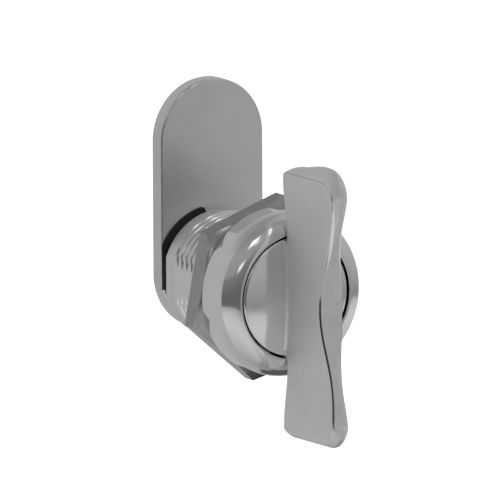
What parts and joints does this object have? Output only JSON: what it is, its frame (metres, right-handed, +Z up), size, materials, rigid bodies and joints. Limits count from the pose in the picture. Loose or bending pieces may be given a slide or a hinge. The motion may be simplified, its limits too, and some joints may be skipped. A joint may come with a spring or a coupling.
{
  "type": "cam lock",
  "caption": "Quarter-turn cam lock with a cast wing knob, a domed bezel on a threaded double-D barrel, a hexagon mounting nut and a flat round-ended cam.",
  "frame": {"origin": "on the lock's axis, in the plane where the bezel seats on the front of the panel", "axes": "+Y along the axis, from the knob through the panel towards the cam; +Z up, where the cam points when the lock is shut; +X to the right seen from the front"},
  "size_m": [0.0294, 0.0505, 0.0559],
  "materials": {
    "chrome_casting": "chrome-plated zinc casting, slightly uneven",
    "nickel_plate": "nickel-plated steel, satin",
    "zinc_plate": "bright zinc-plated steel",
    "spring_steel": "oiled spring steel",
    "black_plastic": "black moulded acetal",
    "seal_rubber": "black nitrile rubber"
  },
  "bodies": {
    "housing": {"housing": "chrome_casting"},
    "nut": {"mounting_nut": "nickel_plate"},
    "knob": {"wing_knob": "chrome_casting", "friction_washer": "black_plastic", "seal_ring": "seal_rubber", "thrust_washer": "spring_steel", "spring_washer": "spring_steel", "retaining_ring": "spring_steel", "stop_disc": "black_plastic", "cam": "nickel_plate", "cam_washer": "zinc_plate", "lock_washer": "zinc_plate", "cam_screw": "zinc_plate"}
  },
  "joints": [
    {"name": "knob_turn", "type": "hinge", "parent": "housing", "child": "knob", "pos_m": [0, 0, 0], "axis": [0, -1, 0], "range_deg": [0, 90]},
    {"name": "nut_travel", "type": "slide", "parent": "housing", "child": "nut", "axis": [0, 1, 0], "range_m": [0, 0.009]}
  ]
}
